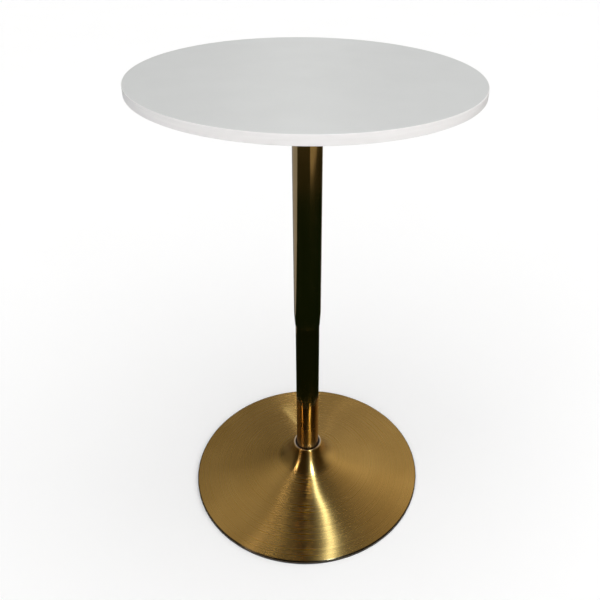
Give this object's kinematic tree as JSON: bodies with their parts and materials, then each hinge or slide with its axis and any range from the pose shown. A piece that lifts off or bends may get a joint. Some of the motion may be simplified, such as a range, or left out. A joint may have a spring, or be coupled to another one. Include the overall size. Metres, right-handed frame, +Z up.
{
  "type": "bar table",
  "caption": "Round white bar table on a gold column and a spun trumpet base; the top turns, and a lever under it releases the gas lift that sets its height.",
  "frame": {"origin": "on the floor, in the middle of the base", "axes": "+Z up along the column; +X towards the side of the lever"},
  "size_m": [0.6, 0.6, 0.945],
  "materials": {
    "brushed_gold": "brushed gold plating on spun steel",
    "polished_gold": "mirror-polished gold plating on steel tube",
    "white_laminate": "smooth white, satin sheen",
    "white_edge": "smooth white edge band",
    "dark_backing": "dark backing sheet, matt",
    "board_fibre": "pressed wood fibre, raw",
    "black_rubber": "matt moulded rubber",
    "black_paint": "black powder coat, fine texture",
    "raw_steel": "bare rolled steel",
    "ground_steel": "ground and hard-chromed",
    "light_alloy": "machined",
    "bush_plastic": "moulded, self-lubricating",
    "grip_plastic": "moulded, fine grain",
    "insert_brass": "machined",
    "zinc_steel": "zinc plated"
  },
  "bodies": {
    "base": {"base_trumpet": "brushed_gold", "floor_ring": "black_rubber", "weight_plate": "black_paint", "column_tube": "polished_gold", "base_hub": "raw_steel", "hub_ribs": "raw_steel", "column_floor": "raw_steel", "race_lower": "ground_steel", "race_balls": "ground_steel", "race_cage": "bush_plastic", "guide_bush": "bush_plastic"},
    "spindle": {"race_upper": "ground_steel", "piston_rod": "ground_steel", "rod_clip": "zinc_steel", "rubber_damper": "black_rubber", "piston": "light_alloy", "piston_seal": "black_rubber"},
    "lift": {"board_core": "board_fibre", "top_laminate": "white_laminate", "under_laminate": "dark_backing", "edge_band": "white_edge", "thread_inserts": "insert_brass", "mount_box": "black_paint", "taper_socket": "raw_steel", "pressure_cylinder": "black_paint", "cylinder_plug": "light_alloy", "valve_body": "light_alloy", "sleeve": "polished_gold", "sleeve_guide": "bush_plastic", "lever_bracket": "raw_steel", "pivot_pin": "zinc_steel", "mount_screws": "zinc_steel", "spring_washers": "zinc_steel"},
    "lever": {"lever_rod": "zinc_steel", "lever_grip": "grip_plastic"},
    "valve": {"release_pin": "ground_steel"}
  },
  "joints": [
    {"name": "top_swivel", "type": "hinge", "parent": "base", "child": "spindle", "pos_m": [0, 0, 0.0196], "axis": [0, 0, 1], "continuous": true},
    {"name": "height_lift", "type": "slide", "parent": "spindle", "child": "lift", "axis": [0, 0, 1], "range_m": [-0.22, 0]},
    {"name": "lever_pivot", "type": "hinge", "parent": "lift", "child": "lever", "pos_m": [0.03, 0, 0.9127], "axis": [0, -1, 0], "range_deg": [0, 5], "stiffness_Nm_per_rad": 3},
    {"name": "valve_press", "type": "slide", "parent": "lift", "child": "valve", "axis": [0, 0, -1], "range_m": [0, 0.0027]}
  ],
  "couplings": [
    {"joint": "valve_press", "follows": "lever_pivot", "m_per_rad": 0.03}
  ]
}
